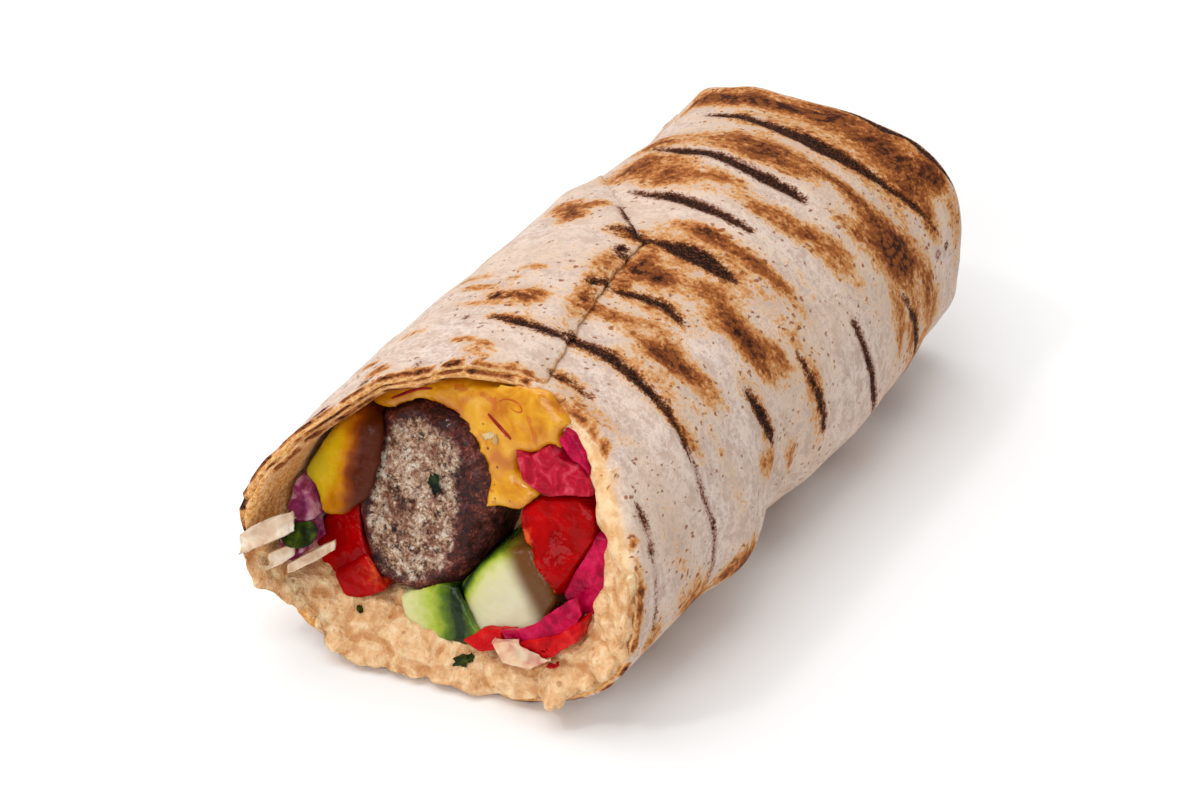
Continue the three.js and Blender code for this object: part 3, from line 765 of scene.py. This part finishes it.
def hummus_finish():
    """Cream-coloured, smooth on the clots, with golden-brown painted shade down in the creases."""
    hummus = moist("hummus", 0.25, (1.2, 0.6, 0.3), Specular_IOR_Level=0.3)
    grit = hummus.grain(0.8, 3, 0.6)
    clot = hummus.grain(2.4, 3, 0.55, 0.4)
    colour = hummus.ramp(
        hummus.blended((grit, 0.25), (clot, 0.75)),
        (0.34, rgb(206, 152, 98)), (0.5, rgb(229, 184, 134)), (0.66, rgb(243, 211, 167)),
    )
    # Golden-brown painted shade down in the creases, made ragged by the clots
    creased = hummus.stirred(hummus.attribute("crease"), clot, -1.2)
    colour = hummus.mix(hummus.step(creased, 0.4, 1.05, 0.0, 0.7), colour, rgb(200, 134, 76))
    bits = hummus.specks(hummus.grain(7, 1), 0.5, 3.4)
    colour = hummus.mix(hummus.step(bits, 0.14, 0.2, 0.0, 0.6), colour, rgb(166, 96, 46))
    hummus.colour(colour)
    hummus.roughness(hummus.step(clot, 0.4, 0.6, 0.55, 0.36))
    hummus.bump(clot, 0.7)
    hummus.bump(hummus.grain(1.3, 2, 0.6), 0.7)
    hummus.bump(grit, 0.14)
    return hummus.material


dressed("hummus_paste", hummus_mesh(), hummus_finish(), "hummus", "hummus")


# ----------------------------------------
# Kafta
# A sausage of coarse minced meat, grilled dark all round and cut across at the mouth, so that
# its cut face shows grey-brown grains and pits. Its skin is rounded back further on the right.

KAFTA_X = -10.5
KAFTA_Z = 30
KAFTA_HALF_WIDTH = 14.5
KAFTA_HALF_HEIGHT = 16.5
KAFTA_FRONT = -71
KAFTA_LENGTH = 116
CUT_RINGS, EDGE_RINGS, RINGS = 3, 6, 18  # rings over the cut, round its edge, to the far end
CUT_SHARE, EDGE_SHARE = 0.35, 0.5  # shares of the mesh that lie on the first two


def kafta_place(angle, ring):
    """A point of the sausage, on a ring from 0 at the middle of the cut."""
    s = math.sin(math.radians(angle))
    c = math.cos(math.radians(angle))
    squarish = (abs(s) ** 2.4 + abs(c) ** 2.4) ** (-1 / 2.4)
    waves = math.sin(math.radians(3 * angle) + ring)
    knob = 0.5 * waves + 0.3 * math.sin(math.radians(5 * angle) - ring)
    shoulder = 3.5 + 2.5 * max(0, s)
    inset = 0
    share = 1
    if ring <= CUT_RINGS:
        share = ring / CUT_RINGS
        inset = shoulder
        y = -0.6 * (1 - share * share)
    elif ring <= EDGE_RINGS:
        bend = (ring - CUT_RINGS) / (EDGE_RINGS - CUT_RINGS) * math.pi / 2
        inset = shoulder * (1 - math.sin(bend))
        y = shoulder * 1.3 * (1 - math.cos(bend))
    else:
        k = (ring - EDGE_RINGS) / (RINGS - EDGE_RINGS)
        y = lerp(shoulder * 1.3, KAFTA_LENGTH, k)
        share = math.sqrt(1 - max(0, (k - 0.75) / 0.25) ** 2)
    reach_x = (KAFTA_HALF_WIDTH + knob - inset) * share * squarish
    reach_z = (KAFTA_HALF_HEIGHT + knob - inset * 0.4) * share * squarish
    upright = 1 - smoothstep(y, 0, 50)
    lean = SLOPE * lerp(KAFTA_Z, KAFTA_Z + c * reach_z, upright)
    return Vector((
        KAFTA_X + s * reach_x, KAFTA_FRONT + y + lean, KAFTA_Z - 0.012 * y + c * reach_z,
    ))


def kafta_mesh():
    bm = bmesh.new()
    bmesh.ops.create_uvsphere(bm, u_segments=190, v_segments=150, radius=1)
    cut = bm.verts.layers.float.new("cut")
    for vert in bm.verts:
        angle, t = unrolled(vert.co)
        if t < CUT_SHARE:
            ring = CUT_RINGS * t / CUT_SHARE
        elif t < EDGE_SHARE:
            ring = lerp(CUT_RINGS, EDGE_RINGS, (t - CUT_SHARE) / (EDGE_SHARE - CUT_SHARE))
        else:
            ring = lerp(EDGE_RINGS, RINGS, (t - EDGE_SHARE) / (1 - EDGE_SHARE))
        vert[cut] = 1 - smoothstep(ring, 2.3, 3.5)
        vert.co = kafta_place(angle, ring)
    bmesh.ops.recalc_face_normals(bm, faces=bm.faces)
    bm.normal_update()
    for vert in bm.verts:
        p = vert.co
        pits = max(0, noise.noise(p / 1.5 + Vector((0, 40, 0))) - 0.2)
        minced = 0.7 * noise.noise(p / 4) + 0.8 * abs(noise.noise(p / 1.8)) - 2.2 * pits
        knobbly = 0.9 * noise.noise(p / 5) + 0.6 * abs(noise.noise(p / 2.2))
        vert.co = p + vert.normal * lerp(knobbly, minced, vert[cut])
    return soft_mesh(bm, "kafta")


def kafta_finish():
    """Grey-brown grains and dark pits on the cut, with white specks of fat that are painted glints
    too; reddish dark crust round the outside.
    """
    kafta = Finish("grilled minced meat", Specular_IOR_Level=0.25, Coat_Weight=0.2,
                   Coat_Roughness=0.12)
    fine = kafta.grain(0.5, 4, 0.8)
    grains = kafta.grain(1.5, 3, 0.65, 0.3)
    coarse = kafta.grain(5.5, 3, 0.6)
    blend = kafta.blended((coarse, 0.25), (fine, 0.43), (grains, 0.32))
    face = kafta.ramp(
        blend, (0.39, rgb(48, 22, 14)), (0.44, rgb(126, 80, 56)), (0.485, rgb(186, 140, 108)),
        (0.53, rgb(224, 194, 166)), (0.58, rgb(250, 238, 222)),
    )
    reddish = kafta.step(kafta.grain(3.4, 4, 0.7), 0.48, 0.62, 0.0, 0.75)
    face = kafta.mix(reddish, face, rgb(138, 74, 50))
    pits = kafta.step(kafta.grain(1.3, 3, 0.7, 0.4), 0.36, 0.45, 0.9, 0.0)
    face = kafta.mix(pits, face, rgb(34, 16, 12))
    # White specks: grains of fat, and painted glints of the wet meat
    fat = kafta.specks(kafta.grain(4, 2), 0.62, 1.3)
    face = kafta.mix(kafta.step(fat, 0.08, 0.2, 0.0, 0.75), face, rgb(250, 236, 220))
    skin = kafta.ramp(
        blend, (0.41, rgb(26, 7, 5)), (0.48, rgb(72, 24, 19)), (0.54, rgb(116, 48, 37)),
        (0.6, rgb(172, 102, 80)),
    )
    cut = kafta.stirred(kafta.attribute("cut"), coarse, 1.8)
    cut = kafta.stirred(cut, grains, 1.4)
    kafta.colour(kafta.mix(kafta.step(cut, 0.3, 1.0), skin, face))
    kafta.roughness(kafta.step(grains, 0.45, 0.6, 0.55, 0.24))
    kafta.bump(grains, 0.8)
    kafta.bump(fine, 0.5)
    return kafta.material


dressed("kafta_sausage", kafta_mesh(), kafta_finish(), "kafta", "kafta")


# ----------------------------------------
# Yellow sauce
# A thick, glossy sauce poured over and beside the kafta. It has run down between the kafta and
# the pickles, and carries dark specks of spice and faint reddish swirls.


def softened(node, cell, rounds, relief):
    """A copy of a filling's solid with small even faces, soft corners and a fine relief."""
    bm = bmesh.new()
    bm.from_mesh(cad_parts[node].data)
    bmesh.ops.remove_doubles(bm, verts=bm.verts, dist=1e-6)
    mesh = bpy.data.meshes.new(node)
    bm.to_mesh(mesh)
    bm.free()
    copy = bpy.data.objects.new(node + "_copy", mesh)
    bpy.context.scene.collection.objects.link(copy)
    even = copy.modifiers.new("even faces", "REMESH")
    even.mode = "VOXEL"
    even.voxel_size = cell / 1000
    shown = copy.evaluated_get(bpy.context.evaluated_depsgraph_get())
    bm = bmesh.new()
    bm.from_mesh(shown.to_mesh())
    bpy.data.objects.remove(copy)
    bmesh.ops.transform(bm, matrix=TO_FRAME.inverted(), verts=bm.verts)
    for _ in range(rounds):
        bmesh.ops.smooth_vert(bm, verts=bm.verts, factor=0.5, use_axis_x=True, use_axis_y=True,
                              use_axis_z=True)
    bm.normal_update()
    for vert in bm.verts:
        vert.co += vert.normal * relief(vert.co)
    return bm


def sauce_relief(p):
    return 0.9 * noise.noise(p / 8) + 0.2 * noise.noise(p / 3.4)


def sauce_finish():
    """Clouded yellow, with a few reddish swirls and dark specks of spice."""
    sauce = moist("yellow sauce", 0.12, (1.0, 0.5, 0.1), Specular_IOR_Level=0.4, Roughness=0.17,
                  Coat_Weight=0.15, Coat_Roughness=0.08)
    cloud = sauce.grain(5.5, 3, 0.6, 0.6)
    colour = sauce.ramp(cloud, (0.32, rgb(190, 108, 2)), (0.5, rgb(216, 146, 12)),
                        (0.68, rgb(230, 174, 50)))
    swirls = sauce.step(sauce.grain(8, 1, 0.5, 2.5), 0.62, 0.67, 0.0, 0.5)
    colour = sauce.mix(swirls, colour, rgb(186, 72, 20))
    spice = sauce.specks(sauce.grain(6, 1), 0.34, 2.4)
    colour = sauce.mix(sauce.step(spice, 0.06, 0.12), colour, rgb(120, 42, 6))
    sauce.colour(colour)
    sauce.bump(sauce.grain(2.6, 2), 0.25)
    return sauce.material


dressed("sauce_pool", soft_mesh(softened("sauce", 0.8, 8, sauce_relief), "sauce"),
        sauce_finish(), "sauce", "sauce")


# ----------------------------------------
# Yellow pepper
# A thick strip of cooked pepper, glossy and wet: yellow-green at its left, stained brown towards
# the kafta and darker still there as painted shade where it lies against the kafta.


def pepper_finish():
    """Its colour runs across the strip, from its left edge to stained brown and painted shade by
    the kafta.
    """
    pepper = moist("cooked pepper", 0.1, (1.0, 0.6, 0.1), Specular_IOR_Level=0.18, Roughness=0.26)
    across = pepper.node("ShaderNodeSeparateXYZ", {0: pepper.place()}).outputs[0]
    blend = pepper.stirred(across, pepper.grain(6, 2), 0.007)
    # Browner across towards the kafta; the darkest stops are painted shade beside it
    colour = pepper.ramp(
        pepper.step(blend, -0.0345, -0.0205), (0.0, rgb(188, 178, 38)), (0.3, rgb(220, 182, 14)),
        (0.55, rgb(206, 134, 4)), (0.78, rgb(142, 64, 4)), (0.95, rgb(84, 30, 6)),
    )
    pepper.colour(colour)
    pepper.bump(pepper.grain(2, 2), 0.3)
    return pepper.material


def gentle_relief(p):
    return 0.4 * noise.noise(p / 5) + 0.12 * noise.noise(p / 1.6)


dressed("pepper_strip", soft_mesh(softened("pepper", 0.6, 8, gentle_relief), "pepper"),
        pepper_finish(), "pepper", "pepper")


# ----------------------------------------
# Tomato
# Three cut pieces of ripe tomato: wet red flesh, paler and grainier along the lower cut edges.
# Lines on a piece are rows of (x, z) corners across the mouth.

TOMATO_EDGE = ((11.4, 30), (12.6, 27.6), (15, 24.2), (18.8, 21.4))
PALE_FLESH = {
    "tomato_right": lambda p: math.exp(-distance_to(TOMATO_EDGE, p) / 1.2),
    "tomato_left": lambda p: 0.35 * (1 - smoothstep(p.z, 11, 15)),
    "tomato_dice": lambda p: 0.5 * smoothstep(p.z, 8, 15) * smoothstep(p.x, -26, -16),
}
FULL_CORNER = (16, 25.5)
FULLER = 2.6


def tomato_finish():
    tomato = moist("tomato flesh", 0.1, (1.0, 0.1, 0.05), Specular_IOR_Level=0.1)
    cloud = tomato.grain(4.5, 3)
    paler = tomato.sum("MULTIPLY_ADD", tomato.grain(0.9, 3), 0.8, tomato.attribute("pale"))
    paler = tomato.step(paler, 0.7, 1.25)
    colour = tomato.ramp(cloud, (0.3, rgb(138, 0, 0)), (0.55, rgb(170, 0, 2)),
                         (0.75, rgb(194, 2, 2)))
    colour = tomato.mix(paler, colour, rgb(216, 84, 34))
    tomato.colour(colour)
    tomato.roughness(tomato.step(paler, 0.2, 0.8, 0.1, 0.3))
    tomato.bump(tomato.grain(2.2, 2), 0.3)
    return tomato.material


def with_share(bm, name, share):
    """Gives each point of a mesh a value worked out from its place, for the finish to read."""
    layer = bm.verts.layers.float.new(name)
    for vert in bm.verts:
        vert[layer] = share(vert.co)
    return bm


def distance_to(line, p):
    """Distance in millimetres across the mouth from a point to a line of (x, z) corners."""
    at = Vector((p.x, p.z))
    best = 100
    for start, end in zip(line, line[1:]):
        start, end = Vector(start), Vector(end)
        along = end - start
        t = min(1, max(0, (at - start).dot(along) / along.length_squared))
        best = min(best, (at - start.lerp(end, t)).length)
    return best


def tomato_relief(p):
    """The right-hand piece is fuller at its lower left than the solid."""
    x, z = FULL_CORNER
    return gentle_relief(p) + FULLER * gauss(p.x, x, 4) * gauss(p.z, z, 4)


flesh = tomato_finish()
for node, share in PALE_FLESH.items():
    bm = with_share(softened(node, 0.45, 5, tomato_relief), "pale", share)
    dressed(node + "_flesh", soft_mesh(bm, node), flesh, "tomato", node)


# ----------------------------------------
# Cucumber
# Two thick pieces of cucumber: pale, wet, slightly clear flesh that turns green towards the
# dark rind on one side. Each rind is a line across the mouth and how far its green reaches.

RINDS = {
    "cucumber_right": (((0, 14), (1.4, 17.7), (3, 22), (6, 25.5), (9, 27.5)), 2.2),
    "cucumber_left": (((0.2, 17), (1.4, 14), (3, 10), (3, 6)), 8.5),
}


def cucumber_finish():
    """Pale flesh that greens towards the rind, with a brown painted shadow under the tomato."""
    cucumber = moist("cucumber", 0.15, (0.7, 1.0, 0.4), Specular_IOR_Level=0.25, Roughness=0.18)
    depth = cucumber.stirred(cucumber.attribute("rind"), cucumber.grain(1.6, 3), 0.25)
    colour = cucumber.ramp(
        depth, (0.0, rgb(214, 206, 172)), (0.3, rgb(208, 206, 142)), (0.52, rgb(168, 182, 58)),
        (0.72, rgb(84, 112, 14)), (0.9, rgb(22, 40, 8)),
    )
    # Brown painted shadow of the tomato on the upper right of the piece
    colour = cucumber.mix(cucumber.attribute("stained"), colour, rgb(104, 64, 26))
    cucumber.colour(colour)
    cucumber.bump(cucumber.grain(1.8, 2), 0.2)
    return cucumber.material


flesh = cucumber_finish()
for node, (rind, reach) in RINDS.items():
    bm = softened(node, 0.45, 5, gentle_relief)
    bm = with_share(bm, "rind", lambda p: math.exp(-distance_to(rind, p) / reach))
    # Where the tomato's shadow is painted: the upper right, under the tomato
    bm = with_share(bm, "stained", lambda p: smoothstep(p.x + 0.9 * p.z, 29, 34.5))
    dressed(node + "_piece", soft_mesh(bm, node), flesh, "cucumber", node)


# ----------------------------------------
# Pickled turnip and red cabbage
# Crimson and magenta strips and shreds, wet and slightly clear, paler where they are thin.


def pickled_finish(name, deep, bright, pale):
    pickled = moist(name, 0.12, (1.0, 0.15, 0.3), Specular_IOR_Level=0.12, Roughness=0.22)
    streak = pickled.grain(3.4, 3, 0.6, 0.8)
    pickled.colour(pickled.ramp(streak, (0.3, deep), (0.52, bright), (0.74, pale)))
    pickled.bump(pickled.grain(1.5, 3), 0.3)
    return pickled.material


magenta = pickled_finish("pickled turnip", rgb(124, 0, 40), rgb(182, 2, 58), rgb(208, 34, 88))
crimson = pickled_finish("pickled cabbage", rgb(122, 0, 20), rgb(180, 14, 44), rgb(218, 84, 104))
scarlet = pickled_finish("pickled shreds", rgb(140, 0, 6), rgb(190, 4, 12), rgb(212, 36, 34))
for node, finish in {
    "pickled_curl": magenta, "pickled_side": magenta, "pickled_top_a": crimson,
    "pickled_top_b": magenta, "red_bit_left": scarlet, "red_bit_right": scarlet,
}.items():
    dressed(node + "_strip", soft_mesh(softened(node, 0.2, 4, gentle_relief), node), finish,
            "pickled", node)


# ----------------------------------------
# Onion
# Raw onion: whitish, slightly clear strips whose skin side is stained, and two purple pieces.


def onion_finish(name, low, middle, high):
    onion = moist(name, 0.3, (1.0, 0.8, 0.6), Specular_IOR_Level=0.35, Roughness=0.25)
    streak = onion.grain(2.6, 2, 0.5, 0.4)
    onion.colour(onion.ramp(streak, (0.3, low), (0.5, middle), (0.72, high)))
    onion.bump(onion.grain(1.6, 2), 0.15)
    return onion.material


white = onion_finish("white onion", rgb(200, 162, 128), rgb(224, 196, 166), rgb(243, 228, 210))
stained = onion_finish("stained onion", rgb(200, 122, 112), rgb(220, 172, 138), rgb(232, 200, 166))
purple = onion_finish("red onion", rgb(110, 18, 72), rgb(160, 60, 110), rgb(220, 172, 186))
for node, finish, thinner in (
    ("pale_onion", stained, 0.5), ("onion_strip_top", white, 0.6),
    ("onion_strip_middle", white, 0.2), ("onion_strip_low", white, 0.2),
):
    bm = softened(node, 0.25, 8, lambda p: gentle_relief(p) - thinner)
    dressed(node + "_piece", soft_mesh(bm, node), finish, "onion", node)
for node in ("red_onion_low", "red_onion_top"):
    dressed(node + "_piece", soft_mesh(softened(node, 0.25, 2, gentle_relief), node), purple,
            "red_onion", node)


# ----------------------------------------
# Parsley leaf
# One thin, dark green, slightly curled leaf that hangs over the left of the lip.


def leaf_finish(name, low, middle, high):
    leaf = Finish(name, Specular_IOR_Level=0.1, Roughness=0.3)
    leaf.colour(leaf.ramp(leaf.grain(1.8, 3), (0.36, low), (0.55, middle), (0.7, high)))
    leaf.bump(leaf.grain(1.2, 2), 0.15)
    return leaf.material


parsley = leaf_finish("parsley", rgb(14, 22, 0), rgb(38, 50, 0), rgb(66, 80, 6))
dressed("parsley_leaf_blade", soft_mesh(softened("parsley_leaf", 0.25, 1, gentle_relief), "leaf"),
        parsley, "leaf", "parsley_leaf")


# ----------------------------------------
# Threads in the sauce
# Two fine shreds of red cabbage and one thin orange curl, half sunk in the sauce. Each is a row
# of places across the mouth, and half its thickness.

SHREDS = [
    (((-0.4, 49.6), (1.4, 48.7), (3.3, 47.8), (4.7, 47.2), (5.7, 46.6)), 0.36),
    (((-20.4, 46.6), (-18, 48.6), (-15.7, 49.8), (-13, 50.7)), 0.3),
]
CURL = [
    (((1.4, 52.1), (2.3, 52.9), (3.6, 53.5), (5.3, 53.4), (6.3, 52.8), (6.7, 52), (5.5, 51.7),
      (4.4, 52.1)), 0.17),
]


def surface_of(piece):
    mesh = bpy.data.objects[piece].data
    return BVHTree.FromPolygons([v.co for v in mesh.vertices], [f.vertices for f in mesh.polygons])


def laid_on(surface, x, z):
    """The point of a surface nearest to a place on the mouth, and the way it faces there."""
    on_mouth = Vector((x, LIP_INSIDE + SLOPE * z - 1, z))
    at, facing, _, _ = surface.find_nearest(TO_FRAME @ on_mouth)
    return TO_FRAME.inverted() @ at, facing


def strand(bm, points, radius):
    """Adds one thin thread through the points, tapered at both ends."""
    for vert in bmesh.ops.create_uvsphere(bm, u_segments=8, v_segments=48, radius=1)["verts"]:
        place = (vert.co.z + 1) / 2 * (len(points) - 1)
        i = min(int(place), len(points) - 2)
        along = points[i + 1] - points[i]
        side = along.cross(Vector((0, 1, 0))).normalized()
        out = side.cross(along).normalized()
        middle = points[i].lerp(points[i + 1], place - i)
        vert.co = middle + radius * (side * vert.co.x + out * vert.co.y)


def threads(name, paths, finish):
    """Lays threads on the sauce, their corners cut off twice so that they curve."""
    bm = bmesh.new()
    pool = surface_of("sauce_pool")
    for path, radius in paths:
        points = [laid_on(pool, x, z)[0] for x, z in path]
        for _ in range(2):
            inner = [a.lerp(b, t) for a, b in zip(points, points[1:]) for t in (0.25, 0.75)]
            points = [points[0], *inner, points[-1]]
        strand(bm, points, radius)
    dressed(name, soft_mesh(bm, name), finish, "pickled")


threads("cabbage_shreds", SHREDS,
        pickled_finish("shred in sauce", rgb(110, 6, 16), rgb(150, 18, 26), rgb(178, 60, 50)))
threads("cabbage_curl", CURL,
        pickled_finish("curl in sauce", rgb(170, 66, 10), rgb(196, 92, 20), rgb(214, 124, 40)))


# ----------------------------------------
# Flecks
# Chopped parsley, red shreds and onion crumbs that lie on the larger pieces. Each is given by
# the piece under it, its place across the mouth, its length and width, and its turn in degrees.

LIFT = 0.12
FLECK_HALF = 0.3  # half a fleck's thickness
stewed = onion_finish("stewed onion", rgb(160, 116, 60), rgb(196, 158, 98), rgb(222, 196, 150))
grilled = leaf_finish("grilled parsley", rgb(4, 10, 6), rgb(12, 26, 14), rgb(36, 54, 30))
FLECKS = {
    "grilled_parsley_fleck": (grilled, "leaf", [("kafta_sausage", -7.8, 34.6, 4.2, 2.8, 110)]),
    "parsley_flecks": (parsley, "leaf", [
        ("hummus_paste", -18.2, 8.0, 2.6, 1.1, 20), ("hummus_paste", 4.6, 6.4, 3.2, 2.2, 50),
        ("hummus_paste", 6, 7.2, 1.8, 1.2, 120), ("hummus_paste", 5.2, 5.4, 1.4, 0.9, 10),
    ]),
    "red_flecks": (scarlet, "pickled", [
        ("hummus_paste", 22.2, 11.2, 2.0, 0.9, 30), ("hummus_paste", 23.4, 12, 1.2, 0.7, 80),
    ]),
    "onion_crumbs": (stewed, "onion", [
        ("sauce_pool", 0.8, 45.8, 2.2, 1.3, 30), ("sauce_pool", 2.4, 45.6, 1.7, 1.2, 100),
        ("red_onion_low_piece", -33.6, 21.9, 2.0, 1.4, 20),
        ("red_onion_low_piece", -32.6, 14.2, 1.6, 1.1, 70),
    ]),
}


def fleck(bm, at, facing, length, width, turn):
    """Adds one small ragged shred that lies flat on a surface."""
    lying = facing.to_track_quat("Z", "Y").to_matrix().to_4x4()
    spun = Matrix.Rotation(math.radians(turn), 4, "Z")
    size = Matrix.Diagonal((length / 2, width / 2, FLECK_HALF, 1))
    for vert in bmesh.ops.create_icosphere(bm, subdivisions=4, radius=1)["verts"]:
        uneven = 1 + 0.7 * noise.noise(vert.co * 1.4 + at)
        vert.co = at + (lying @ spun @ size @ (vert.co * uneven))


for name, (finish, slot, places) in FLECKS.items():
    bm = bmesh.new()
    for piece, x, z, length, width, turn in places:
        at, facing = laid_on(surface_of(piece), x, z)
        fleck(bm, at + LIFT * facing, facing, length, width, turn)
    dressed(name, soft_mesh(bm, name), finish, slot)


# ----------------------------------------
# Floor and light
# A plain pale floor under a large soft light from the upper left, with a weaker one in front and
# a small one for the glints on wet food.

floor_data = bpy.data.meshes.new("floor")
bm = bmesh.new()
bmesh.ops.create_grid(bm, x_segments=1, y_segments=1, size=4)
bm.to_mesh(floor_data)
bm.free()
floor = bpy.data.objects.new("floor", floor_data)
bpy.context.scene.collection.objects.link(floor)
paper = Finish("pale floor", Roughness=0.9, Specular_IOR_Level=0.1)
paper.colour(rgb(250, 250, 250))
floor_data.materials.append(paper.material)


def soft_light(name, place, size, power):
    data = bpy.data.lights.new(name, "AREA")
    data.shape = "SQUARE"
    data.size = size
    data.energy = power
    light = bpy.data.objects.new(name, data)
    light.location = place
    light.rotation_mode = "QUATERNION"
    light.rotation_quaternion = (-Vector(place)).to_track_quat("-Z", "Y")
    bpy.context.scene.collection.objects.link(light)


soft_light("key light", (-0.3, 0.05, 1.0), 1.2, 7.7)
soft_light("front light", (0.05, -1.0, 0.6), 0.6, 3.4)
soft_light("small light", (-0.4, -0.5, 0.9), 0.12, 1.3)

world = bpy.data.worlds.new("studio")
bpy.context.scene.world = world
world.use_nodes = True
world.node_tree.nodes["Background"].inputs["Color"].default_value = (1, 1, 1, 1)
world.node_tree.nodes["Background"].inputs["Strength"].default_value = 0.5
bpy.context.scene.view_settings.view_transform = "Standard"
